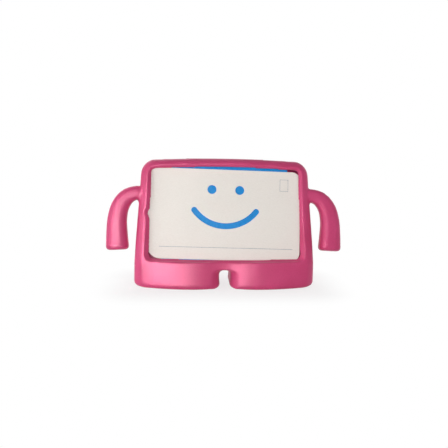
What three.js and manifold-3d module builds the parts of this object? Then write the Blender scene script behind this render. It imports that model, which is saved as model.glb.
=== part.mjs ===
// A child's tablet case moulded in one piece from soft silicone. It stands on two broad feet, leans
// back a little, and has two curved arms as handles. A blue card block fills the tablet pocket for
// display, and a white die-cut card lies on it in the window.
//
// Millimetres, +Z up, the front faces -Y. The origin is on the floor, under the middle of the case.
import * as THREE from "three";
import { mergeVertices } from "three/addons/utils/BufferGeometryUtils.js";
import Module from "manifold-3d";

const wasm = await Module();
wasm.setup();

// The tablet that the pocket is made for
const TABLET_WIDTH = 200;
const TABLET_HEIGHT = 134.7;
const TABLET_THICKNESS = 7.2;
const TABLET_CORNER = 9;
const POCKET_CLEARANCE = 0.4;

// How the case stands
const RECLINE_DEGREES = 14;
const FOOT_HEIGHT = 32; // floor to the front edge of the bottom lip
const FOOT_DEPTH = 72; // front of a foot to its heel
const SOLE_RADIUS = 7;

// Walls round the pocket
const SIDE_WALL = 7.8;
const HIP_FLARE = 7.4; // how much wider each side is at the floor than at the shoulder
const TOP_WALL = 5.6;
const TOP_ARCH = 3.6; // rise of the top edge in its middle
const BACK_WALL = 9.2;
const SHOULDER_RADIUS = 17;

// Edges of the body
const FRONT_SLOPE_WIDTH = 9.5; // the slanted band that runs round the front
const FRONT_SLOPE_FALL = 4.6;
const FRONT_SLOPE_BLEND = 2.5; // half length of the soft change from the front face to that band
const FRONT_EDGE_RADIUS = 5;
const BACK_EDGE_RADIUS = 9;

// The lip that keeps the tablet in, and the window inside it
const LIP_OVER_SIDES = 4.2;
const LIP_OVER_TOP = 8.5;
const LIP_OVER_BOTTOM = 12;
const LIP_EDGE = 1; // upright wall at the window's edge
const LIP_RISE = 4; // height of the bevel above that wall
const LIP_BEVEL_SIDES = 4.2;
const LIP_BEVEL_TOP = 3.8;
const LIP_BEVEL_BOTTOM = 3.4;
const WINDOW_CORNER = 5;
const WINDOW_TAPER = 1.0; // how much further in each side of the window is at its top than at its middle
const WINDOW_BOW_TOP = 3.4;
const WINDOW_BOW_BOTTOM = 2;
const NOTCH_LENGTH = 17; // scoop in the left lip that clears the tablet's front camera
const NOTCH_AT_EDGE = 3;
const NOTCH_AT_BEVEL = 4.2;

// The feet
const FOOT_BULGE_FLOOR = 15; // how far each foot's front swells past the outer corners
const FOOT_BULGE_LIP = 5;
const FOOT_CREST = 38; // distance of the fullest point of a foot from the middle
const FOOT_VALLEY = 5; // how far the front falls back between the feet
const FOOT_SWELL_TOP = 60; // how far above the lip the feet's swelling still shows
const HEEL_HEIGHT = 50; // where the back starts to sweep out to the heels
const HEEL_CORNER = 20;
const HEEL_BOW = 5;
const LEG_GAP = 11.8;
const LEG_GAP_HEIGHT = 22.4;
const LEG_GAP_ARCH = 5.5;
const LEG_SOLE_RADIUS = 5; // rounding of the gap's sides at the floor
const LEG_ROUNDING = 19; // radius of the feet's inner corners, front and back
const LEG_ROUNDING_TOP = 4;

// The arms, measured from the middle of the window, in the leaning plane of the case
const ARM_ROOT_HEIGHT = 25.3;
const ARM_REACH = 26; // from the side of the body to the middle of the hanging arm
const ARM_END_DROP = 42.3;
const ARM_ROOT_RADIUS = 8.8;
const ARM_END_RADIUS = 14.4;
const ARM_FLATNESS = 0.88; // the arm's depth as a share of its width
const ARM_FULLNESS = 0.8; // 1 for an oval section, less for a squarer one
const ARM_END_EDGE = 4.5;

// Openings that reach the tablet's camera and charging socket
const CAMERA_INSET = 13; // from the tablet's top and side edges
const CAMERA_HOLE_RADIUS = 5.5;
const CAMERA_HOLE_FLARE = 3; // how much wider the hole is at the back of the case

// The display insert
const CARD_THICKNESS = 0.8;
const CARD_LEFT_TUCK = 3; // how far the card's left side reaches under the lip
const CARD_RIGHT_TUCK = 1.5;
const CARD_TOP_TUCK = 0.2;
const CARD_BOTTOM_TUCK = 2.4;
const CARD_CORNER = 11.6;
const CARD_TILT_DEGREES = -1.3;
const BLOCK_WIDTH = 162;
const BLOCK_CORNER = 4;
const SEAT_GAP = 0.3;

// The die-cut face: two round eyes and a mouth with round ends
const EYE_RADIUS = 5.8;
const EYE_SPACING = 36;
const EYE_HEIGHT = 31;
const MOUTH_RADIUS = 50;
const MOUTH_CENTRE_HEIGHT = 34;
const MOUTH_HALF_ANGLE = 53;
const MOUTH_STROKE = 7.6;

// Worked out from the sizes above
const { degToRad, lerp, clamp, smoothstep } = THREE.MathUtils;
const lean = degToRad(RECLINE_DEGREES);
const pocketHalfWidth = TABLET_WIDTH / 2 + POCKET_CLEARANCE;
const pocketDepth = TABLET_THICKNESS + 2 * POCKET_CLEARANCE;
const windowHalfWidth = TABLET_WIDTH / 2 - LIP_OVER_SIDES;
const windowHalfHeight = (TABLET_HEIGHT - LIP_OVER_TOP - LIP_OVER_BOTTOM) / 2;
const tabletTop = windowHalfHeight + LIP_OVER_TOP;
const tabletBottom = -windowHalfHeight - LIP_OVER_BOTTOM;
const tabletMiddle = (tabletTop + tabletBottom) / 2;
const lipDepth = LIP_EDGE + LIP_RISE;
const bodyThickness = lipDepth + pocketDepth + BACK_WALL;
const shoulderHalfWidth = pocketHalfWidth + SIDE_WALL;
const lipFrontDrop = windowHalfHeight + WINDOW_BOW_BOTTOM + LIP_BEVEL_BOTTOM;
const windowMiddleZ = FOOT_HEIGHT + lipFrontDrop * Math.cos(lean);
const topZ = windowMiddleZ + (tabletTop + POCKET_CLEARANCE + TOP_WALL - TOP_ARCH) * Math.cos(lean);
const armDepth = bodyThickness / 2 - lipDepth;

// Solids and geometry

function toSolid(geometry) {
  const bare = geometry.clone();
  bare.deleteAttribute("normal");
  bare.deleteAttribute("uv");
  const merged = mergeVertices(bare, 1e-4);
  return new wasm.Manifold(
    new wasm.Mesh({
      numProp: 3,
      vertProperties: new Float32Array(merged.attributes.position.array),
      triVerts: new Uint32Array(merged.index.array),
    }),
  );
}

function toGeometry(solid) {
  const mesh = solid.getMesh();
  const geometry = new THREE.BufferGeometry();
  geometry.setAttribute("position", new THREE.BufferAttribute(mesh.vertProperties, 3));
  geometry.setIndex(new THREE.BufferAttribute(mesh.triVerts, 1));
  geometry.computeVertexNormals();
  return geometry;
}

// A closed skin through rings of points, each with the same count, with a fan over each end.
function loft(rings) {
  const count = rings[0].length;
  const points = rings.flat();
  const index = [];
  for (let r = 0; r + 1 < rings.length; r++) {
    for (let i = 0; i < count; i++) {
      const a = r * count + i;
      const b = r * count + ((i + 1) % count);
      index.push(a, b, b + count, a, b + count, a + count);
    }
  }
  const middleOf = (ring) =>
    ring.reduce((sum, p) => sum.add(p), new THREE.Vector3()).divideScalar(count);
  const first = points.push(middleOf(rings[0])) - 1;
  const last = points.push(middleOf(rings.at(-1))) - 1;
  const lastRing = (rings.length - 1) * count;
  for (let i = 0; i < count; i++) {
    const next = (i + 1) % count;
    index.push(first, next, i);
    index.push(last, lastRing + i, lastRing + next);
  }
  const geometry = new THREE.BufferGeometry().setFromPoints(points);
  geometry.setIndex(index);
  return geometry;
}

// Places geometry made in the leaning frame: x across, y into the case, z up along the screen,
// from the middle of the window on the tablet's face.
const leaningFrame = new THREE.Matrix4()
  .makeTranslation(0, lipDepth / Math.cos(lean) + lipFrontDrop * Math.sin(lean), windowMiddleZ)
  .multiply(new THREE.Matrix4().makeRotationX(-lean));
const inLeaningFrame = (geometry) => geometry.applyMatrix4(leaningFrame);

// The body's skin

const roundOver = (distance, radius) => {
  const inside = clamp(1 - distance / radius, 0, 1);
  return radius * (1 - Math.sqrt(1 - inside * inside));
};

// How far the front surface lies behind the front plane, at a distance from the outline.
function frontFall(distance) {
  const past = FRONT_SLOPE_WIDTH - distance;
  const soft = clamp((past + FRONT_SLOPE_BLEND) / (2 * FRONT_SLOPE_BLEND), 0, 1);
  const ramp = past > FRONT_SLOPE_BLEND ? past : FRONT_SLOPE_BLEND * soft * soft;
  return (FRONT_SLOPE_FALL / FRONT_SLOPE_WIDTH) * ramp + roundOver(distance, FRONT_EDGE_RADIUS);
}

const halfWidthAt = (z) => {
  const down = clamp(1 - z / topZ, 0, 1);
  return shoulderHalfWidth + HIP_FLARE * Math.sin((down * Math.PI) / 2) ** 1.5;
};

// Distance from a point of the front view to the outline, which is round at the shoulders.
function distanceToOutline(x, z) {
  const side = halfWidthAt(z) - x;
  const top = topZ - z;
  if (side > SHOULDER_RADIUS || top > SHOULDER_RADIUS) return Math.min(side, top);
  return SHOULDER_RADIUS - Math.hypot(SHOULDER_RADIUS - side, SHOULDER_RADIUS - top);
}

const outlineHalfWidth = (z) => {
  const intoShoulder = Math.max(0, z - (topZ - SHOULDER_RADIUS));
  const inset = SHOULDER_RADIUS - Math.sqrt(SHOULDER_RADIUS ** 2 - intoShoulder ** 2);
  return halfWidthAt(z) - inset;
};

// Two soft lobes, one over each foot, with a shallow valley between them.
function frontY(x, z) {
  const halfWidth = halfWidthAt(z);
  const leaning = Math.max(0, z - FOOT_HEIGHT) * Math.tan(lean);
  const bulge = lerp(FOOT_BULGE_FLOOR, FOOT_BULGE_LIP, clamp(z / FOOT_HEIGHT, 0, 1));
  const fade = 1 - smoothstep(z, FOOT_HEIGHT + 8, FOOT_HEIGHT + FOOT_SWELL_TOP);
  const past = Math.max(0, x - FOOT_CREST) / (halfWidth - FOOT_CREST);
  const inner = Math.max(0, 1 - (x / FOOT_CREST) ** 2);
  const swell = bulge * (1 - past * past) - FOOT_VALLEY * inner * inner;
  return leaning - swell * fade;
}

function backY(x, z) {
  const u = x / halfWidthAt(z);
  const plane = bodyThickness / Math.cos(lean) + (z - FOOT_HEIGHT) * Math.tan(lean);
  const heel = 1 - clamp(z / HEEL_HEIGHT, 0, 1);
  const heelReach = FOOT_DEPTH - FOOT_BULGE_FLOOR - HEEL_BOW - (plane - z * Math.tan(lean));
  const sweep = heel * heel * (1.6 - 0.6 * heel);
  return plane + sweep * heelReach + HEEL_BOW * sweep * (1 - u * u);
}

// One level of the skin: a closed ring of points round the body at a height.
const FRONT_SHARES = [0, 0.06, 0.14, 0.23, 0.33, 0.43, 0.53, 0.63, 0.73, 0.82];
const EDGE_SHARES = [1.25, 1, 0.8, 0.6, 0.42, 0.27, 0.14, 0.05, 0];
const BACK_SHARES = [0, 0.05, 0.17, 0.36, 0.62, 1];

function bodyRing(z) {
  const inset = roundOver(z, SOLE_RADIUS);
  const width = outlineHalfWidth(z) - inset;
  const frontStart = width - 1.25 * FRONT_SLOPE_WIDTH;
  const backRadius = lerp(HEEL_CORNER, BACK_EDGE_RADIUS, smoothstep(z, 0, HEEL_HEIGHT));
  const backWidth = Math.min(backRadius, width);
  const half = [];
  const front = (x) => {
    const y = frontY(x, z) + frontFall(distanceToOutline(x + inset, z)) + inset;
    half.push(new THREE.Vector2(x, y));
  };
  for (const share of FRONT_SHARES) front((share / 0.82) * frontStart * 0.98);
  for (const share of EDGE_SHARES) front(width - share * FRONT_SLOPE_WIDTH);
  for (const share of BACK_SHARES) {
    const x = width - share * backWidth;
    const distance = Math.min(distanceToOutline(x + inset, z), x > width - 0.001 ? 0 : Infinity);
    const y = backY(x, z) - roundOver(distance, backRadius) - inset;
    half.push(new THREE.Vector2(x, y));
  }
  for (const share of [0.72, 0.45, 0.2, 0]) {
    const x = (width - backWidth) * share;
    const y = backY(x, z) - roundOver(distanceToOutline(x + inset, z), backRadius) - inset;
    half.push(new THREE.Vector2(x, y));
  }
  const left = half.slice(1, -1).map((p) => new THREE.Vector2(-p.x, p.y));
  const archShare = smoothstep(z, topZ - 2 * SHOULDER_RADIUS, topZ);
  return [...half, ...left.reverse()].map((p) => {
    const u = p.x / halfWidthAt(z);
    return new THREE.Vector3(p.x, p.y, z + TOP_ARCH * archShare * (1 - u * u));
  });
}

function bodySkin() {
  const levels = [0, 0.08, 0.3, 0.62, 1].map((share) => share * SOLE_RADIUS);
  for (const share of [0.28, 0.46, 0.64, 0.82, 1]) levels.push(share * FOOT_HEIGHT);
  const shoulderZ = topZ - SHOULDER_RADIUS;
  for (const share of [0.12, 0.26, 0.42, 0.6, 0.8]) levels.push(lerp(FOOT_HEIGHT, shoulderZ, share));
  for (const share of [0, 0.2, 0.38, 0.53, 0.66, 0.77, 0.86, 0.93, 0.97, 0.992]) {
    levels.push(shoulderZ + share * SHOULDER_RADIUS);
  }
  return loft(levels.map(bodyRing));
}

// The window, its lip and the pocket

// Half of the window's outline is enough to describe it: a rectangle with round corners whose
// long sides bow outwards. grow widens it on each side, and notch scoops the left side.
function windowOutline(grow, notch, radius = WINDOW_CORNER) {
  const halfWidth = windowHalfWidth + grow.sides;
  const top = windowHalfHeight + grow.top;
  const bottom = windowHalfHeight + grow.bottom;
  const corner = (cx, cz, from) =>
    [0, 1, 2, 3, 4, 5].map((i) => {
      const angle = degToRad(from + i * 18);
      return new THREE.Vector2(cx + radius * Math.cos(angle), cz + radius * Math.sin(angle));
    });
  const points = [];
  const straight = (from, to, steps) => {
    for (let i = 1; i < steps; i++) points.push(new THREE.Vector2().lerpVectors(from, to, i / steps));
  };
  const corners = [
    corner(halfWidth - radius, radius - bottom, -90),
    corner(halfWidth - radius, top - radius, 0),
    corner(radius - halfWidth, top - radius, 90),
    corner(radius - halfWidth, radius - bottom, 180),
  ];
  const steps = [4, 12, 16, 12];
  corners.forEach((arc, i) => {
    points.push(...arc);
    straight(arc.at(-1), corners[(i + 1) % 4][0], steps[i]);
  });
  for (const p of points) {
    const u = p.x / halfWidth;
    const bow = 1 - u * u;
    p.y += p.y > 0 ? WINDOW_BOW_TOP * bow : -WINDOW_BOW_BOTTOM * bow;
    p.x *= 1 - (WINDOW_TAPER / windowHalfWidth) * (p.y / windowHalfHeight);
    const along = Math.abs(p.y) / (NOTCH_LENGTH / 2);
    if (p.x < 0 && along < 1) p.x -= notch * Math.cos((along * Math.PI) / 2) ** 2 * (u < -0.9 ? 1 : 0);
  }
  return points;
}

function windowCutter() {
  const straightEdge = { sides: 0, top: 0, bottom: 0 };
  const bevelled = { sides: LIP_BEVEL_SIDES, top: LIP_BEVEL_TOP, bottom: LIP_BEVEL_BOTTOM };
  const outside = {
    sides: LIP_BEVEL_SIDES * 3,
    top: LIP_BEVEL_TOP * 3,
    bottom: LIP_BEVEL_BOTTOM + LIP_RISE * 0.5,
  };
  const sections = [
    [pocketDepth / 2, windowOutline(straightEdge, NOTCH_AT_EDGE)],
    [-LIP_EDGE, windowOutline(straightEdge, NOTCH_AT_EDGE)],
    [-lipDepth, windowOutline(bevelled, NOTCH_AT_BEVEL, WINDOW_CORNER + LIP_BEVEL_BOTTOM)],
    [-lipDepth * 4, windowOutline(outside, NOTCH_AT_BEVEL, WINDOW_CORNER + LIP_BEVEL_BOTTOM)],
  ];
  const rings = sections.map(([y, outline]) => outline.map((p) => new THREE.Vector3(p.x, y, p.y)));
  return inLeaningFrame(loft(rings));
}

function roundedRectangle(width, height, radius) {
  const shape = new THREE.Shape();
  const x = width / 2 - radius;
  const y = height / 2 - radius;
  shape.absarc(x, -y, radius, -Math.PI / 2, 0);
  shape.absarc(x, y, radius, 0, Math.PI / 2);
  shape.absarc(-x, y, radius, Math.PI / 2, Math.PI);
  shape.absarc(-x, -y, radius, Math.PI, Math.PI * 1.5);
  shape.closePath();
  return shape;
}

// A flat shape drawn as seen from the front, made thick from a depth backwards.
function plateFromFront(shape, depth, thickness, curveSegments) {
  const plate = new THREE.ExtrudeGeometry(shape, {
    depth: thickness,
    bevelEnabled: false,
    curveSegments,
  });
  return plate.rotateX(Math.PI / 2).translate(0, depth + thickness, 0);
}

function pocketCutter() {
  const shape = roundedRectangle(
    2 * pocketHalfWidth,
    TABLET_HEIGHT + 2 * POCKET_CLEARANCE,
    TABLET_CORNER + POCKET_CLEARANCE,
  );
  return inLeaningFrame(plateFromFront(shape, 0, pocketDepth, 5).translate(0, 0, tabletMiddle));
}

// The gap between the feet, with large round inner corners at the front and at the back

function legGapCutter() {
  const corner = LEG_GAP / 2 + LEG_ROUNDING;
  const back = backY(0, 0);
  const section = (end, inward, widen, raise) => {
    const half = LEG_GAP / 2 + widen;
    const top = LEG_GAP_HEIGHT + raise;
    const spring = top - LEG_GAP_ARCH;
    const yAt = (z) => (end > 0 ? back - inward : frontY(corner, Math.max(0, z)) + inward);
    const foot = [-1, 0, 0.08, 0.3, 0.62].map((share) => {
      const z = share * LEG_SOLE_RADIUS;
      return new THREE.Vector3(half + roundOver(Math.max(z, 0), LEG_SOLE_RADIUS), yAt(z), z);
    });
    const ring = [...foot];
    for (let i = 0; i <= 10; i++) {
      const angle = (Math.PI * i) / 10;
      const x = half * Math.sign(Math.cos(angle)) * Math.abs(Math.cos(angle)) ** 0.8;
      const z = spring + LEG_GAP_ARCH * Math.sin(angle);
      ring.push(new THREE.Vector3(x, yAt(z), z));
    }
    for (const p of foot.reverse()) ring.push(new THREE.Vector3(-p.x, p.y, p.z));
    return ring;
  };
  const flare = [90, 78, 66, 54, 42, 30, 18, 8, 0].map((angle) => Math.sin(degToRad(angle)));
  const rings = [];
  const flared = (share, end) => {
    const inward = (1 - share) * LEG_ROUNDING;
    const open = roundOver(inward, LEG_ROUNDING);
    rings.push(section(end, inward, open, (open / LEG_ROUNDING) * LEG_ROUNDING_TOP));
  };
  rings.push(section(-1, -LEG_ROUNDING, LEG_ROUNDING, LEG_ROUNDING_TOP));
  for (const share of flare) flared(share, -1);
  for (const share of [...flare].reverse()) flared(share, 1);
  rings.push(section(1, -LEG_ROUNDING, LEG_ROUNDING, LEG_ROUNDING_TOP));
  return loft(rings.reverse());
}

// The arms

function armSkin(side) {
  const bodySide = shoulderHalfWidth + HIP_FLARE / 2;
  const outer = bodySide + ARM_REACH;
  const bend = new THREE.CatmullRomCurve3(
    [
      [bodySide - 9, ARM_ROOT_HEIGHT],
      [bodySide - 1, ARM_ROOT_HEIGHT - 0.2],
      [lerp(bodySide, outer, 0.5), lerp(ARM_ROOT_HEIGHT, -ARM_END_DROP, 0.07)],
      [lerp(bodySide, outer, 0.86), lerp(ARM_ROOT_HEIGHT, -ARM_END_DROP, 0.25)],
      [outer, lerp(ARM_ROOT_HEIGHT, -ARM_END_DROP, 0.5)],
      [outer, lerp(ARM_ROOT_HEIGHT, -ARM_END_DROP, 0.73)],
      [outer - 1, -ARM_END_DROP],
    ].map(([x, z]) => new THREE.Vector3(x, armDepth, z)),
  );
  const sides = 22;
  const steps = 16;
  const rings = [];
  const addRing = (t, radius, shift) => {
    const centre = bend.getPointAt(t);
    const along = bend.getTangentAt(t);
    centre.addScaledVector(along, shift);
    const across = new THREE.Vector3(along.z, 0, -along.x);
    const full = (value) => Math.sign(value) * Math.abs(value) ** ARM_FULLNESS;
    const ring = [];
    for (let i = 0; i < sides; i++) {
      const angle = (2 * Math.PI * i) / sides;
      ring.push(
        centre
          .clone()
          .addScaledVector(across, radius * full(Math.cos(angle)))
          .add(new THREE.Vector3(0, radius * ARM_FLATNESS * full(Math.sin(angle)), 0)),
      );
    }
    rings.push(ring);
  };
  for (let i = 0; i <= steps; i++) {
    const t = i / steps;
    addRing(t, lerp(ARM_ROOT_RADIUS, ARM_END_RADIUS, t ** 0.9), 0);
  }
  for (const degrees of [25, 50, 72, 90]) {
    const angle = degToRad(degrees);
    const inset = ARM_END_EDGE * (1 - Math.cos(angle));
    addRing(1, ARM_END_RADIUS - inset, ARM_END_EDGE * Math.sin(angle));
  }
  const geometry = inLeaningFrame(loft(rings));
  return side > 0 ? geometry : mirrored(geometry);
}

function mirrored(geometry) {
  const turned = geometry.clone().scale(-1, 1, 1);
  const index = turned.index.array;
  for (let i = 0; i < index.length; i += 3) [index[i + 1], index[i + 2]] = [index[i + 2], index[i + 1]];
  return turned;
}

// The opening behind the tablet's camera

function cameraCutter() {
  const inner = pocketDepth / 2;
  const outer = pocketDepth + BACK_WALL + 2;
  const profile = [
    [0, inner],
    [CAMERA_HOLE_RADIUS, inner],
    [CAMERA_HOLE_RADIUS, pocketDepth + 1],
    [CAMERA_HOLE_RADIUS + CAMERA_HOLE_FLARE, outer],
    [0, outer],
  ].map(([r, y]) => new THREE.Vector2(r, y));
  const hole = new THREE.LatheGeometry(profile, 28);
  const x = -(TABLET_WIDTH / 2 - CAMERA_INSET);
  return inLeaningFrame(hole.translate(x, 0, tabletTop - CAMERA_INSET));
}

function caseBody() {
  let body = toSolid(bodySkin());
  for (const side of [1, -1]) body = body.add(toSolid(armSkin(side)));
  const cutters = [windowCutter(), pocketCutter(), legGapCutter(), cameraCutter()];
  for (const cutter of cutters) body = body.subtract(toSolid(cutter));
  return toGeometry(body);
}

// The display insert

function faceCard() {
  const shape = roundedRectangle(
    2 * windowHalfWidth + CARD_LEFT_TUCK + CARD_RIGHT_TUCK,
    2 * windowHalfHeight + CARD_TOP_TUCK + CARD_BOTTOM_TUCK,
    CARD_CORNER,
  );
  const right = (CARD_RIGHT_TUCK - CARD_LEFT_TUCK) / 2;
  const up = (CARD_TOP_TUCK - CARD_BOTTOM_TUCK) / 2;
  for (const side of [1, -1]) {
    const eye = new THREE.Path();
    eye.absarc((side * EYE_SPACING) / 2 - right, EYE_HEIGHT - up, EYE_RADIUS, 0, 2 * Math.PI);
    shape.holes.push(eye);
  }
  shape.holes.push(mouthPath(-right, -up));
  const card = plateFromFront(shape, SEAT_GAP, CARD_THICKNESS, 14);
  return inLeaningFrame(card.rotateY(-degToRad(CARD_TILT_DEGREES)).translate(right, 0, up));
}

function mouthPath(x, y) {
  const start = degToRad(-90 - MOUTH_HALF_ANGLE);
  const end = degToRad(-90 + MOUTH_HALF_ANGLE);
  const half = MOUTH_STROKE / 2;
  const centre = y + MOUTH_CENTRE_HEIGHT;
  const at = (angle) => [x + MOUTH_RADIUS * Math.cos(angle), centre + MOUTH_RADIUS * Math.sin(angle)];
  const mouth = new THREE.Path();
  mouth.absarc(x, centre, MOUTH_RADIUS + half, start, end);
  mouth.absarc(...at(end), half, end, end + Math.PI);
  mouth.absarc(x, centre, MOUTH_RADIUS - half, end, start, true);
  mouth.absarc(...at(start), half, start + Math.PI, start + 2 * Math.PI);
  return mouth;
}

function insertBlock() {
  const shape = roundedRectangle(BLOCK_WIDTH, TABLET_HEIGHT, BLOCK_CORNER);
  const front = CARD_THICKNESS + 2 * SEAT_GAP;
  const block = plateFromFront(shape, front, pocketDepth - SEAT_GAP - front, 5);
  return inLeaningFrame(block.translate(0, 0, tabletMiddle - POCKET_CLEARANCE + SEAT_GAP));
}

// The parts, each with its own material

function part(name, geometry, material) {
  const mesh = new THREE.Mesh(geometry, material);
  mesh.name = name;
  return mesh;
}

const silicone = new THREE.MeshStandardMaterial({ color: 0xd94f7d, roughness: 0.55, metalness: 0 });
const whiteCard = new THREE.MeshStandardMaterial({ color: 0xf0ebe1, roughness: 0.8, metalness: 0 });
const blueBoard = new THREE.MeshStandardMaterial({ color: 0x2f8ed8, roughness: 0.75, metalness: 0 });

const tabletCase = new THREE.Group();
tabletCase.add(
  part("case_body", caseBody(), silicone),
  part("insert_block", insertBlock(), blueBoard),
  part("face_card", faceCard(), whiteCard),
);

// The origin is under the middle of the whole case.
const box = new THREE.Box3().setFromObject(tabletCase);
for (const mesh of tabletCase.children) mesh.position.y = -(box.min.y + box.max.y) / 2;

export default tabletCase;
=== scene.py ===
# %% [markdown]
# # A soft tablet case with arms and feet
# The object is a child's tablet case, moulded in one piece from a soft pink material. It stands on
# two broad feet, leans back, and has two curved arms to carry it by. For display a blue carton
# fills the tablet pocket, and a white card with a die-cut face lies on it in the window.
#
# The solid model comes first and sets every size. This script gives each solid its finished
# surface, its material and its light. Everything is in metres, +Z is up and the screen faces -Y.

# %% Load the solid model
import math

import bmesh
import bpy
import numpy as np
from mathutils import Matrix, Vector


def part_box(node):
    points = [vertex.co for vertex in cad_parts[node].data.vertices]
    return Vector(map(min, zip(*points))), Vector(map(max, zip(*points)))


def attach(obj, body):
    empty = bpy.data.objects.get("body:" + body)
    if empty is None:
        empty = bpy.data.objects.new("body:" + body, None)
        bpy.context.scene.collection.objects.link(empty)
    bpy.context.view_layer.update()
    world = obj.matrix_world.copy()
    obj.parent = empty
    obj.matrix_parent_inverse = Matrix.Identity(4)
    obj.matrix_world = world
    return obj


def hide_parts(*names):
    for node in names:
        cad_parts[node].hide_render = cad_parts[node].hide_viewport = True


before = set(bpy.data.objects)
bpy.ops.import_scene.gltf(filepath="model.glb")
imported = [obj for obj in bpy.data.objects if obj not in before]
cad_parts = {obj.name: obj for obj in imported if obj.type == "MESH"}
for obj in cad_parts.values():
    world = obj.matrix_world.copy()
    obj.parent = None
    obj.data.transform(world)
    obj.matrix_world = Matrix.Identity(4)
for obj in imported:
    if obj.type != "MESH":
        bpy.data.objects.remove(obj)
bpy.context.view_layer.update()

scene = bpy.context.scene
MM = 0.001
for node in sorted(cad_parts):
    low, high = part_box(node)
    print(node, "size in mm:", [round((b - a) / MM, 1) for a, b in zip(low, high)])

# %% [markdown]
# ## Where the leaning parts lie
# The screen side leans back, so the card and its markings are easiest to draw flat, as seen from
# straight in front, and then tip back together. One matrix does that: x stays across, y goes into
# the case and z runs up the screen. Its origin is the middle of the window on the tablet's face,
# and it follows from the carton's lowest and foremost points, which its solid gives.

# %% The leaning frame
LEAN = math.radians(14)
TABLET_HEIGHT, LIP_OVER_TOP, LIP_OVER_BOTTOM = 134.7 * MM, 8.5 * MM, 12 * MM
WINDOW_HALF_HEIGHT = (TABLET_HEIGHT - LIP_OVER_TOP - LIP_OVER_BOTTOM) / 2
POCKET_DEPTH, SEAT_GAP = 8 * MM, 0.3 * MM
CARTON_FRONT, CARTON_BACK = 1.4 * MM, POCKET_DEPTH - SEAT_GAP  # how far in from the tablet's face
CARTON_DROP = 0.1 * MM  # how far it settles below the place of the tablet


def window_middle():
    low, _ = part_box("insert_block")
    bottom = -WINDOW_HALF_HEIGHT - LIP_OVER_BOTTOM - CARTON_DROP
    foremost = CARTON_FRONT * math.cos(LEAN) + bottom * math.sin(LEAN)
    lowest = -CARTON_BACK * math.sin(LEAN) + bottom * math.cos(LEAN)
    return Vector((0, low[1] - foremost, low[2] - lowest))


LEANING = Matrix.Translation(window_middle()) @ Matrix.Rotation(-LEAN, 4, "X")
print("window middle in mm:", [round(c / MM, 2) for c in LEANING.translation])

# %% [markdown]
# ## The case: one soft moulded skin
# The real case leaves its mould in one piece, so no edge on it is sharp and the arms flow into the
# sides. The solid model has the right form, but in flat facets with crisp cuts. Bevels would catch
# on every facet, so the skin is laid again instead: a voxel remesh makes an even net of small
# squares, and relaxing that net rounds the edges as a mould does.


# %% Helpers for making pieces
def new_piece(name, mesh, material, slot_name, *nodes):
    """Links a finished mesh as a piece that rides on the case and stands for its solid."""
    piece = bpy.data.objects.new(name, mesh)
    scene.collection.objects.link(piece)
    mesh.materials.clear()
    mesh.materials.append(material)
    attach(piece, "root")
    if nodes:
        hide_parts(*nodes)
    print(name, "has", sum(len(p.vertices) - 2 for p in mesh.polygons), "triangles")


def merged_copy(node):
    """A copy of a solid's mesh with its loose triangles sewn together."""
    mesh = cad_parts[node].data.copy()
    sewn = bmesh.new()
    sewn.from_mesh(mesh)
    bmesh.ops.remove_doubles(sewn, verts=sewn.verts, dist=2e-6)
    sewn.to_mesh(mesh)
    sewn.free()
    return mesh


def evaluated_mesh(maker):
    """The plain mesh that an object's curve, modifiers or node tree make. The object goes."""
    evaluated = maker.evaluated_get(bpy.context.evaluated_depsgraph_get())
    made = bpy.data.meshes.new_from_object(evaluated)
    maker.modifiers.clear()
    bpy.data.objects.remove(maker)
    return made


def maker_of(data):
    """A passing object that only serves to make a mesh."""
    maker = bpy.data.objects.new("maker", data)
    scene.collection.objects.link(maker)
    return maker


def modified(mesh, kind, **options):
    """The mesh after one modifier."""
    maker = maker_of(mesh)
    modifier = maker.modifiers.new(kind.lower(), kind)
    for option, value in options.items():
        setattr(modifier, option, value)
    return evaluated_mesh(maker)


# %% [markdown]
# ### Relaxing a net
# Relaxing moves each point towards the middle of its neighbours, which rounds the edges. It also
# shrinks the form, so a round may end with a move back out by about as much. Whole arrays are
# moved at once with numpy, because a plain loop over this many points would be slow.


# %% Relax a net of points
def per_vertex(mesh, what):
    """The places ("co") or normals ("normal") of a mesh's points, a row for each."""
    values = np.empty(len(mesh.vertices) * 3)
    mesh.vertices.foreach_get(what, values)
    return values.reshape(-1, 3)


def neighbour_count(edges, points):
    return np.bincount(edges.ravel(), minlength=points).astype(float)


def neighbour_mean(values, edges, count):
    total = np.zeros_like(values)
    for axis in range(values.shape[1]):
        total[:, axis] = np.bincount(edges[:, 0], values[edges[:, 1], axis], len(values))
        total[:, axis] += np.bincount(edges[:, 1], values[edges[:, 0], axis], len(values))
    return total / count[:, None]


def relax(points, edges, rounds, share, give_back=None):
    count = neighbour_count(edges, len(points))
    for _ in range(rounds):
        points = points + share * (neighbour_mean(points, edges, count) - points)
        if give_back is not None:
            points = points - give_back * (neighbour_mean(points, edges, count) - points)
    return points


# %% [markdown]
# ### Where the net is flat
# A few rounds everywhere give the edges their soft radius. The broad faces then get many more,
# because the facets of the solid would still show there as bands in a highlight. How much the
# normals turn nearby tells the two apart: the mean of unit normals is shorter where they disagree.

# %% Tell flat from curved
FLAT_RINGS = 6  # how many points away the normals are compared
MOST_TURN = 0.006  # how much shorter the mean is where a place is no longer flat


def flatness(mesh, edges):
    """1 where the normals hardly turn within a few millimetres, 0 at edges and tight curves."""
    mean = per_vertex(mesh, "normal")
    count = neighbour_count(edges, len(mean))
    for _ in range(FLAT_RINGS):
        mean = neighbour_mean(mean, edges, count)
    turn = 1 - np.linalg.norm(mean, axis=1)
    return np.clip(1 - turn / MOST_TURN, 0, 1)[:, None]


# %% [markdown]
# ### The roots of the arms
# On the real case a crease runs round each arm where it leaves the side. Relaxing would fill it,
# so the points near it move less. The photograph also shows the roots a little thinner than the
# solid has them, and the left one higher, so their points are moved up in proportion.

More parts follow.
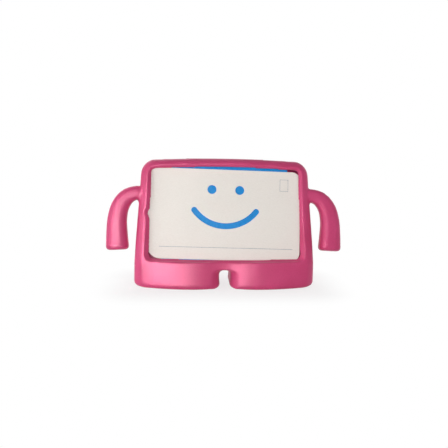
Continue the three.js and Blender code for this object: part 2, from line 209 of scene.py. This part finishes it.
# %% Keep the crease and shape the roots
ROOT_ACROSS, ROOT_UP, ROOT_HALF = 110.4 * MM, 115 * MM, 13 * MM  # its middle, half its height
CREASE_WIDTH, CREASE_FADE, CREASE_KEPT = 5 * MM, 1.5 * MM, 0.88
SIDE_SLOPE, SIDE_BLEND = 0.06, 2 * MM  # the side leans in, and the arm begins just outside it
ARM_FIXED, LEFT_LIFT, ROOT_THINNING = 70 * MM, 1.4 * MM, 2.2 * MM  # below ARM_FIXED nothing moves


def away_from_arm_roots(points):
    """1 on most of the skin, and small where an arm meets its side."""
    across, up = np.abs(points[:, 0]) - ROOT_ACROSS, np.abs(points[:, 2] - ROOT_UP) - ROOT_HALF
    near = np.exp(-((across / CREASE_WIDTH) ** 2)) / (1 + np.exp(up / CREASE_FADE))
    return (1 - CREASE_KEPT * near)[:, None]


def shape_arm_roots(points, mesh):
    """Thins the roots from below and lifts the left one. The arms' ends stay."""
    under = np.clip(-per_vertex(mesh, "normal")[:, 2], 0, 1)
    side = ROOT_ACROSS - SIDE_SLOPE * (points[:, 2] - ROOT_UP)
    on_arm = np.clip((np.abs(points[:, 0]) - side) / SIDE_BLEND, 0, 1)
    near_root = np.clip((points[:, 2] - ARM_FIXED) / (ROOT_UP - ARM_FIXED), 0, 1) * on_arm
    points[:, 2] += near_root * (LEFT_LIFT * (points[:, 0] < 0) + ROOT_THINNING * under)
    return points


# %% [markdown]
# ### The leg gap
# The gap between the feet ends in a round arch. A net of squares this size would give its narrow
# roof corners, so a collar with an arched opening, flared at both ends, is laid under the roof
# before the net is made. Afterwards the gap is widened a little, where relaxing has drawn its walls
# together.

# %% Round the leg gap
ARCH_RADIUS, ARCH_SPRING, ARCH_ROOF = 6 * MM, 15.3 * MM, 22.9 * MM
ARCH_OUTSIDE, ARCH_FOOT, ARCH_STEPS = 10 * MM, 2 * MM, 16
# The collar's rings: place front to back, and how much wider the arch is there, in mm.
ARCH_RINGS = ((-19, 2.5), (-15, 0.8), (-10, 0.0), (10, 0.0), (15, 0.8), (19, 2.5))
GAP_EASE, GAP_REACH, GAP_LOW, GAP_HIGH = 0.9 * MM, 6 * MM, 3 * MM, 12 * MM


def arch_ring(radius):
    """One section of the collar, across and up, from its left foot over the opening to the roof."""
    foot = ARCH_SPRING - ARCH_FOOT
    outline = [(-ARCH_OUTSIDE, ARCH_ROOF), (-ARCH_OUTSIDE, foot)]
    for i in range(ARCH_STEPS + 1):
        angle = math.pi * (1 - i / ARCH_STEPS)
        outline.append((radius * math.cos(angle), ARCH_SPRING + radius * math.sin(angle)))
    return outline + [(ARCH_OUTSIDE, foot), (ARCH_OUTSIDE, ARCH_ROOF)]


def arch_collar(mesh):
    sewn = bmesh.new()
    sewn.from_mesh(mesh)
    rings = []
    for y, wider in ARCH_RINGS:
        outline = arch_ring(ARCH_RADIUS + wider * MM)
        rings.append([sewn.verts.new((x, y * MM, z)) for x, z in outline])
    sides = len(rings[0])
    for near, far in zip(rings, rings[1:]):
        for i in range(sides):
            j = (i + 1) % sides
            sewn.faces.new((near[i], far[i], far[j], near[j]))
    sewn.faces.new(rings[0])
    sewn.faces.new(rings[-1][::-1])
    sewn.to_mesh(mesh)
    sewn.free()
    return mesh


def ease_gap(points):
    """Moves the gap's walls apart, most at GAP_REACH from the middle and fading out beyond."""
    across, up = points[:, 0] / GAP_REACH, points[:, 2]
    share = np.clip((up - GAP_LOW) / (GAP_HIGH - GAP_LOW), 0, 1) * np.clip(3 - up / GAP_HIGH, 0, 1)
    points[:, 0] += GAP_EASE * share * across * np.exp(0.5 * (1 - across**2))
    return points


# %% [markdown]
# ### The whole skin
# The steps come together here. The crease is kept while the edges are rounded. The gap and the
# roots are shaped once the broad faces are smooth, and a few last rounds blend them in.

# %% Lay the skin
SKIN_VOXEL = 1.29 * MM
EDGE_ROUNDS, BROAD_ROUNDS, LAST_ROUNDS = 24, 80, 4
MOVE_IN, MOVE_BACK, BROAD_MOVE = 0.5, 0.52, 0.6


def soft_skin(node):
    mesh = arch_collar(merged_copy(node))
    mesh = modified(mesh, "REMESH", mode="VOXEL", voxel_size=SKIN_VOXEL)
    edges = np.empty(len(mesh.edges) * 2, np.int64)
    mesh.edges.foreach_get("vertices", edges)
    edges = edges.reshape(-1, 2)
    points = per_vertex(mesh, "co")
    ease = away_from_arm_roots(points)
    points = relax(points, edges, EDGE_ROUNDS, MOVE_IN * ease, MOVE_BACK * ease)
    mesh.vertices.foreach_set("co", points.ravel())
    mesh.update()
    flat = flatness(mesh, edges)
    points = relax(points, edges, BROAD_ROUNDS, BROAD_MOVE * flat)
    points = shape_arm_roots(ease_gap(points), mesh)
    points = relax(points, edges, LAST_ROUNDS, MOVE_IN, MOVE_BACK)
    mesh.vertices.foreach_set("co", points.ravel())
    mesh.update()
    mesh.shade_smooth()
    print("skin points:", len(points), "broad share:", round(float((flat > 0.5).mean()), 2))
    return mesh


case_mesh = soft_skin("case_body")

# %% [markdown]
# ## Node helpers
# Every material here is a Principled shader with a few nodes in front of it. The helpers keep the
# cells short. Patterns read Object coordinates, so they stay on the piece whatever the view is, and
# values that are the same all over are set on the shader itself.


# %% Nodes and colours
def material_with(name):
    """A new material, its tree, its Principled shader and its Object coordinates."""
    material = bpy.data.materials.new(name)
    material.use_nodes = True
    tree = material.node_tree
    place = add(tree, "ShaderNodeTexCoord").outputs["Object"]
    return material, tree, tree.nodes["Principled BSDF"], place


def add(tree, kind, links=None, **options):
    """Adds a node, sets its options and its inputs' values, and links what it is given."""
    node = tree.nodes.new(kind)
    for option, value in options.items():
        setattr(node, option, value)
    for socket, source in (links or {}).items():
        if isinstance(source, bpy.types.NodeSocket):
            tree.links.new(source, node.inputs[socket])
        else:
            node.inputs[socket].default_value = source
    return node


def set_shader(tree, surface, values):
    """Sets the shader's sockets, each to a plain value or to another node's output."""
    for socket, value in values.items():
        if isinstance(value, bpy.types.NodeSocket):
            tree.links.new(value, surface.inputs[socket])
        else:
            surface.inputs[socket].default_value = value


def srgb(red, green, blue):
    """A colour as it is read on a screen, from 0 to 255, in Blender's linear values."""

    def linear(c):
        c = c / 255
        return c / 12.92 if c <= 0.04045 else ((c + 0.055) / 1.055) ** 2.4

    return (linear(red), linear(green), linear(blue), 1)


def grey(value):
    return (value, value, value, 1)


print("pink in linear values:", [round(c, 3) for c in srgb(204, 68, 117)])


# %% [markdown]
# A few sorts of node do most of the work: noise makes a pattern, a ramp turns it into a colour or a
# roughness between two values, and a bump tilts the surface's shading without moving its points.


# %% Patterns and bumps
def ramp(tree, factor, low, high, start=0.0, end=1.0):
    node = add(tree, "ShaderNodeValToRGB", {"Fac": factor})
    for element, position, colour in zip(node.color_ramp.elements, (start, end), (low, high)):
        element.position, element.color = position, colour
    return node.outputs["Color"]


def noise(tree, place, scale, detail=3.0, rough=0.5):
    links = {"Vector": place, "Scale": scale, "Detail": detail, "Roughness": rough}
    return add(tree, "ShaderNodeTexNoise", links).outputs["Fac"]


def shaded(tree, colour, shade):
    """A colour multiplied by a shade."""
    links = {0: 1.0, 6: colour, 7: shade}  # the factor and the two colours, by their places
    return add(tree, "ShaderNodeMix", links, data_type="RGBA", blend_type="MULTIPLY").outputs[2]


def bumped(tree, height, strength, depth, over=None):
    """The normal over a relief, on top of another one where it is given."""
    links = {"Height": height, "Strength": strength, "Distance": depth}
    if over is not None:
        links["Normal"] = over
    return add(tree, "ShaderNodeBump", links).outputs["Normal"]


# %% [markdown]
# ## The case's material
# The surface is satin: a broad soft highlight with no mirror in it. The colour goes all through,
# with slight clouds where the mix was moulded. Very fine pores keep the sheen from looking like
# glass, and a little light enters the skin, which lifts the thin lips and the arms' ends.


# %% Pink moulded silicone
def pink_silicone():
    material, tree, surface, place = material_with("pink silicone")
    clouds = noise(tree, place, scale=22, detail=4, rough=0.55)
    dim, bright = srgb(200, 64, 112), srgb(208, 72, 122)
    colour = ramp(tree, clouds, dim, bright, start=0.32, end=0.68)
    specks = noise(tree, place, scale=900, detail=2)
    specks = ramp(tree, specks, grey(0.93), grey(1.0), start=0.3, end=0.55)
    satin = noise(tree, place, scale=60, detail=3)
    satin = ramp(tree, satin, grey(0.38), grey(0.44), start=0.3, end=0.7)
    pores = noise(tree, place, scale=1500, detail=2)
    pores = bumped(tree, pores, strength=0.12, depth=0.12 * MM)
    ripples = noise(tree, place, scale=130, detail=2)
    ripples = bumped(tree, ripples, strength=0.12, depth=0.4 * MM, over=pores)
    values = {
        "Base Color": shaded(tree, colour, specks),
        "Roughness": satin,
        "Normal": ripples,
        "Specular IOR Level": 0.25,
        "Subsurface Weight": 0.12,
        "Subsurface Radius": (1.0, 0.35, 0.45),
        "Subsurface Scale": 3 * MM,
        "Sheen Weight": 0.12,
        "Sheen Roughness": 0.45,
    }
    set_shader(tree, surface, values)
    return material


new_piece("case_skin", case_mesh, pink_silicone(), "case", "case_body")

# %% [markdown]
# ## The carton in the pocket
# A flat blue carton stands in for the tablet while the case is on sale. It is folded board, so its
# edges are creases with a small radius, and its print is even, with the faint mottle that ink has
# on board. A bevel on the solid is enough for its form.

# %% Carton insert
CREASE_RADIUS, CREASE_SEGMENTS = 0.5 * MM, 2
SHARP_EDGE = 0.9  # radians: only edges that turn more than this are creased


def folded_carton():
    return modified(
        merged_copy("insert_block"),
        "BEVEL",
        width=CREASE_RADIUS,
        segments=CREASE_SEGMENTS,
        limit_method="ANGLE",
        angle_limit=SHARP_EDGE,
    )


def blue_board():
    material, tree, surface, place = material_with("blue printed board")
    mottle = noise(tree, place, scale=260, detail=4, rough=0.6)
    dim, bright = srgb(26, 136, 213), srgb(42, 149, 223)
    dots = noise(tree, place, scale=1800, detail=2)
    values = {
        "Base Color": ramp(tree, mottle, dim, bright, start=0.3, end=0.7),
        "Roughness": ramp(tree, mottle, grey(0.5), grey(0.6)),
        "Normal": bumped(tree, dots, strength=0.2, depth=0.05 * MM),
        "Specular IOR Level": 0.1,
    }
    set_shader(tree, surface, values)
    return material


new_piece("carton_insert", folded_carton(), blue_board(), "insert", "insert_block")

# %% [markdown]
# ## The die-cut card
# The card is stiff white board with round corners. Two eyes and a mouth are stamped out of it, and
# the blue carton shows through. A stamped edge is nearly square with a slight roll, so the card is
# drawn as a flat curve: a filled outline with holes, a little depth and a very small bevel. Curves
# keep the eyes truly round, where the solid's holes are polygons.

# %% The card's outline
CARD_WIDTH, CARD_HEIGHT, CARD_CORNER = 196.1 * MM, 116.8 * MM, 11.6 * MM
WIDE_CORNER = 18 * MM  # the lower left corner is cut rounder, and a dark gap shows beside it
CORNER_STEPS = 12


def arc(cx, cy, radius, start, end, steps):
    angles = [start + (end - start) * i / steps for i in range(steps + 1)]
    return [(cx + radius * math.cos(a), cy + radius * math.sin(a)) for a in angles]


def card_outline():
    """Counterclockwise from the lower right corner."""
    quarter, corner = math.pi / 2, CARD_CORNER
    corners = [(1, -1, corner), (1, 1, corner), (-1, 1, corner), (-1, -1, WIDE_CORNER)]
    outline = []
    for i, (across, up, radius) in enumerate(corners):
        centre = across * (CARD_WIDTH / 2 - radius), up * (CARD_HEIGHT / 2 - radius)
        outline += arc(*centre, radius, (i - 1) * quarter, i * quarter, CORNER_STEPS)
    return outline


# %% [markdown]
# The card lies a little to the left and low in the window, and its face stays in the window's
# middle. The mouth is a broad arc with round ends, drawn round its own edge.

# %% The face's holes
CARD_LEFT, CARD_DOWN = 0.75 * MM, 1.1 * MM
EYE_RADIUS, EYE_SPACING, EYE_HEIGHT, EYE_STEPS = 5.8 * MM, 36 * MM, 31 * MM, 40
MOUTH_RADIUS, MOUTH_CENTRE_HEIGHT, MOUTH_STROKE = 50 * MM, 34 * MM, 7.6 * MM
MOUTH_HALF_ANGLE, MOUTH_STEPS, MOUTH_END_STEPS = math.radians(53), 48, 14


def eye_outlines():
    eyes = []
    for x in (-EYE_SPACING / 2, EYE_SPACING / 2):
        centre = CARD_LEFT + x, CARD_DOWN + EYE_HEIGHT
        eyes.append(arc(*centre, EYE_RADIUS, 0, 2 * math.pi, EYE_STEPS)[:-1])
    return eyes


def mouth_outline():
    start, end = -math.pi / 2 - MOUTH_HALF_ANGLE, -math.pi / 2 + MOUTH_HALF_ANGLE
    half, centre = MOUTH_STROKE / 2, (CARD_LEFT, CARD_DOWN + MOUTH_CENTRE_HEIGHT)

    def round_end(angle, first):
        tip = [c + MOUTH_RADIUS * f(angle) for c, f in zip(centre, (math.cos, math.sin))]
        return arc(*tip, half, first, first + math.pi, MOUTH_END_STEPS)[1:-1]

    outer = arc(*centre, MOUTH_RADIUS + half, start, end, MOUTH_STEPS)
    inner = arc(*centre, MOUTH_RADIUS - half, end, start, MOUTH_STEPS)
    return outer + round_end(end, end) + inner + round_end(start, start + math.pi)


# %% [markdown]
# A flat curve fills its first outline and leaves the others open. Its depth and bevel grow outwards
# from the line, so the line is first drawn in by the bevel's size, and the card keeps its width.

# %% Stamp out a card
CARD_THICKNESS, CARD_TILT = 0.8 * MM, math.radians(1.3)
STAMPED_EDGE = 0.12 * MM


def die_cut(outlines, thickness, edge):
    curve = bpy.data.curves.new("die", "CURVE")
    curve.dimensions, curve.fill_mode = "2D", "BOTH"
    curve.extrude, curve.bevel_depth, curve.bevel_resolution = thickness / 2 - edge, edge, 2
    curve.offset = -edge
    for outline in outlines:
        spline = curve.splines.new("POLY")
        spline.points.add(len(outline) - 1)
        spline.points.foreach_set("co", [c for x, y in outline for c in (x, y, 0, 1)])
        spline.use_cyclic_u = True
    mesh = evaluated_mesh(maker_of(curve))
    sewn = bmesh.new()
    sewn.from_mesh(mesh)
    bmesh.ops.remove_doubles(sewn, verts=sewn.verts, dist=1e-6)
    bmesh.ops.recalc_face_normals(sewn, faces=sewn.faces)
    sewn.to_mesh(mesh)
    sewn.free()
    return mesh


outlines = [card_outline(), *eye_outlines(), mouth_outline()]
card_mesh = die_cut(outlines, CARD_THICKNESS, STAMPED_EDGE)
print("card mesh has", len(card_mesh.vertices), "points")

# %% [markdown]
# The flat card is drawn in x and y. One matrix stands it up, turns it by the small angle at which
# it was slipped in, and tips it back with the screen. Its board is a warm white with a fine web of
# fibres that run across, so the noise is squeezed from top to bottom.

# %% Card and its board
CARD_PLACE = (
    LEANING
    @ Matrix.Translation((-CARD_LEFT, SEAT_GAP + CARD_THICKNESS / 2, -CARD_DOWN))
    @ Matrix.Rotation(CARD_TILT, 4, "Y")
    @ Matrix.Rotation(math.pi / 2, 4, "X")
)
FIBRE_SQUEEZE = (1, 1, 3.5)


def white_card():
    material, tree, surface, place = material_with("white card")
    fibres = add(tree, "ShaderNodeMapping", {"Vector": place, "Scale": FIBRE_SQUEEZE})
    web = noise(tree, fibres.outputs["Vector"], scale=420, detail=5, rough=0.65)
    dim, bright = srgb(238, 232, 224), srgb(246, 241, 234)
    colour = ramp(tree, web, dim, bright, start=0.3, end=0.7)
    clouds = noise(tree, place, scale=14, detail=3)
    clouds = ramp(tree, clouds, grey(0.975), grey(1.0), start=0.35, end=0.65)
    values = {
        "Base Color": shaded(tree, colour, clouds),
        "Normal": bumped(tree, web, strength=0.15, depth=0.06 * MM),
        "Roughness": 0.62,
        "Specular IOR Level": 0.12,
    }
    set_shader(tree, surface, values)
    return material


card_mesh.transform(CARD_PLACE)
new_piece("display_card", card_mesh, white_card(), "card", "face_card")

# %% [markdown]
# ## Scored lines on the card
# Two fine grey lines are pressed into the card: a long one near its lower edge and a small upright
# rectangle at its upper right. They follow paths, so Geometry Nodes makes them: the paths come in
# as loose edges, each becomes a curve, and a flat profile is swept along it.


# %% Score lines with Geometry Nodes
def score_tree(material):
    tree = bpy.data.node_groups.new("score lines", "GeometryNodeTree")
    face = tree.interface
    face.new_socket("Paths", in_out="INPUT", socket_type="NodeSocketGeometry")
    face.new_socket("Line width", in_out="INPUT", socket_type="NodeSocketFloat")
    face.new_socket("Line height", in_out="INPUT", socket_type="NodeSocketFloat")
    face.new_socket("Lines", in_out="OUTPUT", socket_type="NodeSocketGeometry")
    entry, leave = tree.nodes.new("NodeGroupInput"), tree.nodes.new("NodeGroupOutput")
    curves = add(tree, "GeometryNodeMeshToCurve", {"Mesh": entry.outputs["Paths"]})
    sizes = {"Width": entry.outputs["Line width"], "Height": entry.outputs["Line height"]}
    profile = add(tree, "GeometryNodeCurvePrimitiveQuadrilateral", sizes)
    sweep = {"Curve": curves.outputs["Curve"], "Profile Curve": profile.outputs["Curve"]}
    swept = add(tree, "GeometryNodeCurveToMesh", {**sweep, "Fill Caps": True})
    real = add(tree, "GeometryNodeRealizeInstances", {"Geometry": swept.outputs["Mesh"]})
    inked = add(tree, "GeometryNodeSetMaterial", {"Geometry": real.outputs["Geometry"]})
    inked.inputs["Material"].default_value = material
    tree.links.new(inked.outputs["Geometry"], leave.inputs["Lines"])
    return tree


def run_tree(mesh, tree, **values):
    """Feeds a mesh to a node tree, with its inputs set by name, and returns the plain result."""
    maker = maker_of(mesh)
    modifier = maker.modifiers.new("nodes", "NODES")
    modifier.node_group = tree
    for item in tree.interface.items_tree:
        key = item.name.lower().replace(" ", "_")
        if item.in_out == "INPUT" and key in values:
            modifier[item.identifier] = values[key]
    return evaluated_mesh(maker)


# %% [markdown]
# The paths are drawn on the flat card, measured from its middle. The lines stand a hair above the
# board, so that the two surfaces don't flicker, and go to their place with the card's own matrix.

# %% Draw the paths and sweep them
SCORE_WIDTH, SCORE_HEIGHT, SCORE_LIFT = 0.55 * MM, 0.05 * MM, 0.004 * MM
LONG_SCORE = [(-82.6 * MM, -43 * MM), (88.8 * MM, -42.3 * MM)]
MARK_CENTRE, MARK_SIZE = (76.3 * MM, 40.4 * MM), (10.5 * MM, 15 * MM)


def score_paths():
    (cx, cy), (w, h) = MARK_CENTRE, MARK_SIZE
    signs = ((-1, -1), (1, -1), (1, 1), (-1, 1))
    mark = [(cx + sx * w / 2, cy + sy * h / 2) for sx, sy in signs]
    level = CARD_THICKNESS / 2 + SCORE_HEIGHT / 2 + SCORE_LIFT
    points = [(x, y, level) for x, y in LONG_SCORE + mark]
    mesh = bpy.data.meshes.new("score paths")
    mesh.from_pydata(points, [(0, 1), (2, 3), (3, 4), (4, 5), (5, 2)], [])
    return mesh


def grey_score():
    material, tree, surface, place = material_with("pressed score")
    worn = noise(tree, place, scale=160, detail=3)
    dim, bright = srgb(150, 158, 164), srgb(186, 190, 192)
    values = {
        "Base Color": ramp(tree, worn, dim, bright, start=0.35, end=0.65),
        "Roughness": 0.7,
        "Specular IOR Level": 0.25,
    }
    set_shader(tree, surface, values)
    return material


pressed = grey_score()
scoring = score_tree(pressed)
lines = run_tree(score_paths(), scoring, line_width=SCORE_WIDTH, line_height=SCORE_HEIGHT)
reach = [max(abs(v.co[axis]) for v in lines.vertices) for axis in range(3)]
print("score lines reach in mm from the card's middle:", [round(r / MM, 2) for r in reach])
lines.transform(CARD_PLACE)
new_piece("score_lines", lines, pressed, "card")

# %% [markdown]
# ## Floor and backdrop
# The case stands on a plain pale sweep, a floor that curves up into a wall so that no horizon
# shows. The picture wants it white, but a white lit by more lamps would bleach the case. So its
# material gives part of its white only to rays that look at it, from the camera or by way of a
# shiny surface. Near the feet that part is smaller, so the case's own shadow stays, and the paper
# round the feet is painted darker too, a painted shadow.

# %% Studio sweep
FLOOR_HALF, WALL_AT, WALL_TOP, SWEEP_RADIUS, SWEEP_STEPS = 3.0, 2.2, 3.0, 0.9, 16


def sweep_mesh():
    profile = [(-FLOOR_HALF, 0.0), (WALL_AT - SWEEP_RADIUS, 0.0)]
    for i in range(1, SWEEP_STEPS + 1):
        angle = i / SWEEP_STEPS * math.pi / 2
        y = WALL_AT - SWEEP_RADIUS + SWEEP_RADIUS * math.sin(angle)
        profile.append((y, SWEEP_RADIUS * (1 - math.cos(angle))))
    profile.append((WALL_AT, WALL_TOP))
    points = [(x, y, z) for y, z in profile for x in (-FLOOR_HALF, FLOOR_HALF)]
    faces = [(2 * i, 2 * i + 1, 2 * i + 3, 2 * i + 2) for i in range(len(profile) - 1)]
    mesh = bpy.data.meshes.new("sweep")
    mesh.from_pydata(points, [], faces)
    mesh.shade_smooth()
    print("sweep has", len(faces), "strips")
    return mesh


# %% Pale paper
FEET_REACH = (0.105, 0.03, 0)  # half the length and depth of the place where the feet stand
WHITE_BEYOND = 0.065  # this far outside it the paper is quite white
# The white share at the feet is smaller: a painted shadow round them, darker even where no light is
# blocked.
WHITE_IN_PAINTED_SHADOW, WHITE_BEHIND = 0.76, 1.0


def looked_at(tree):
    """1 for a ray that looks at the backdrop, and 0 for one that only carries light."""
    light_path = add(tree, "ShaderNodeLightPath").outputs
    seen = light_path["Is Camera Ray"]
    for other in ("Is Glossy Ray", "Is Transmission Ray"):
        either = add(tree, "ShaderNodeMath", {0: seen, 1: light_path[other]}, operation="MAXIMUM")
        seen = either.outputs[0]
    return seen


def distance_from_feet(tree, place):
    away = place
    for step, amount in (("ABSOLUTE", None), ("SUBTRACT", FEET_REACH), ("MAXIMUM", (0, 0, 0))):
        links = {0: away} if amount is None else {0: away, 1: amount}
        away = add(tree, "ShaderNodeVectorMath", links, operation=step).outputs["Vector"]
    return add(tree, "ShaderNodeVectorMath", {0: away}, operation="LENGTH").outputs["Value"]


def pale_paper():
    material, tree, surface, place = material_with("pale sweep")
    paper = {"Base Color": grey(0.84), "Roughness": 0.9, "Specular IOR Level": 0.1}
    set_shader(tree, surface, paper)
    span = {
        "Value": distance_from_feet(tree, place),
        "From Min": 0.0,
        "From Max": WHITE_BEYOND,
        "To Min": WHITE_IN_PAINTED_SHADOW,
        "To Max": WHITE_BEHIND,
    }
    # Less white near the feet paints a shadow round them, on top of their real shadow.
    white_outside_painted_shadow = add(tree, "ShaderNodeMapRange", span, interpolation_type="SMOOTHSTEP")
    links = {0: looked_at(tree), 1: white_outside_painted_shadow.outputs["Result"]}
    part = add(tree, "ShaderNodeMath", links, operation="MULTIPLY")
    white = add(tree, "ShaderNodeEmission", {"Color": grey(1), "Strength": 1.0})
    links = {0: part.outputs[0], 1: surface.outputs[0], 2: white.outputs[0]}
    mix = add(tree, "ShaderNodeMixShader", links)
    tree.links.new(mix.outputs[0], tree.nodes["Material Output"].inputs["Surface"])
    return material


sweep = bpy.data.objects.new("studio_sweep", sweep_mesh())
scene.collection.objects.link(sweep)
sweep.data.materials.append(pale_paper())

# %% [markdown]
# ## Lamps
# Three broad lamps give the even light, most of it from the left, and make no highlights. Three
# small ones left of the camera, with a narrow beam on the left foot, give only the gleams on that
# side and leave the right side plain. Two lamps behind light the back and its rim.


# %% Place the lamps
def soft_lamp(name, place, aim, size, watts, beam=180, gives="both"):
    """A square lamp. One that gives "shade" makes no highlights, and "gloss" makes only them."""
    lamp = bpy.data.lights.new(name, "AREA")
    lamp.shape, lamp.size, lamp.energy, lamp.spread = "SQUARE", size, watts, math.radians(beam)
    holder = bpy.data.objects.new(name, lamp)
    holder.location = place
    holder.rotation_euler = (Vector(aim) - Vector(place)).to_track_quat("-Z", "Y").to_euler()
    holder.visible_camera = False
    holder.visible_glossy = gives != "shade"
    holder.visible_diffuse = gives != "gloss"
    scene.collection.objects.link(holder)


MIDDLE, LEFT_FOOT = (0, 0, 0.09), (-0.09, 0, 0.04)
BROAD = {"aim": MIDDLE, "gives": "shade"}
GLEAM = {"aim": LEFT_FOOT, "gives": "gloss"}
soft_lamp("broad_front", (-0.236, -1.338, 0.429), size=0.6, watts=5.7, **BROAD)
soft_lamp("broad_left", (-0.827, -0.301, 0.277), size=0.5, watts=4.2, **BROAD)
soft_lamp("broad_right", (0.725, -0.864, 0.5), size=1.0, watts=3.75, **BROAD)
soft_lamp("gleam_low", (-0.24, -0.5, 0.12), size=0.22, watts=0.66, beam=50, **GLEAM)
soft_lamp("gleam_high", (-0.3, -0.52, 0.34), size=0.3, watts=0.42, beam=50, **GLEAM)
soft_lamp("gleam_side", (-0.4, -0.36, 0.16), size=0.3, watts=0.14, beam=60, **GLEAM)
soft_lamp("back_rim", (-0.5, 0.85, 0.78), MIDDLE, size=0.9, watts=5)
soft_lamp("back_fill", (0.85, 0.7, 0.3), size=0.8, watts=7, **BROAD)
print("lamps in watts:", {lamp.name: round(lamp.energy, 2) for lamp in bpy.data.lights})

# %% [markdown]
# The world is white to a ray that looks at it, as the sweep is, and lights the case only faintly.
# Standard view keeps the colours as they are written.

# %% Surroundings
WORLD_LIGHT, WORLD_SEEN = 0.04, 1.0

world = bpy.data.worlds.new("studio")
scene.world = world
world.use_nodes = True
background = world.node_tree.nodes["Background"]
background.inputs["Color"].default_value = grey(1)
levels = {"Value": looked_at(world.node_tree), "To Min": WORLD_LIGHT, "To Max": WORLD_SEEN}
strength = add(world.node_tree, "ShaderNodeMapRange", levels)
world.node_tree.links.new(strength.outputs["Result"], background.inputs["Strength"])
scene.view_settings.view_transform = "Standard"

# %% [markdown]
# ## Camera
# The photograph was taken from just left of the middle and a little above, with the picture turned
# by about a degree. The place, the turn and the lens were fitted to the outline of the case.

# %% Place the camera
CAMERA_AZIMUTH, CAMERA_ELEVATION, CAMERA_ROLL = (math.radians(a) for a in (-3.73, 9.39, 1.19))
CAMERA_DISTANCE, CAMERA_TARGET = 0.6536, Vector((0, 0, 0.085))
LENS, SHIFT = 40.775, (-0.0025, -0.0096)

outwards = math.cos(CAMERA_ELEVATION)
back = Vector(
    (
        math.sin(CAMERA_AZIMUTH) * outwards,
        -math.cos(CAMERA_AZIMUTH) * outwards,
        math.sin(CAMERA_ELEVATION),
    )
)
camera = bpy.data.objects.new("camera", bpy.data.cameras.new("camera"))
scene.collection.objects.link(camera)
camera.location = CAMERA_TARGET + back * CAMERA_DISTANCE
level = (-back).to_track_quat("-Z", "Y").to_matrix()
camera.rotation_euler = (level @ Matrix.Rotation(CAMERA_ROLL, 3, "Z")).to_euler()
camera.data.lens = LENS
camera.data.shift_x, camera.data.shift_y = SHIFT
camera.data.clip_start, camera.data.clip_end = 0.01, 20
scene.camera = camera
print("camera at in mm:", [round(c / MM, 1) for c in camera.location])
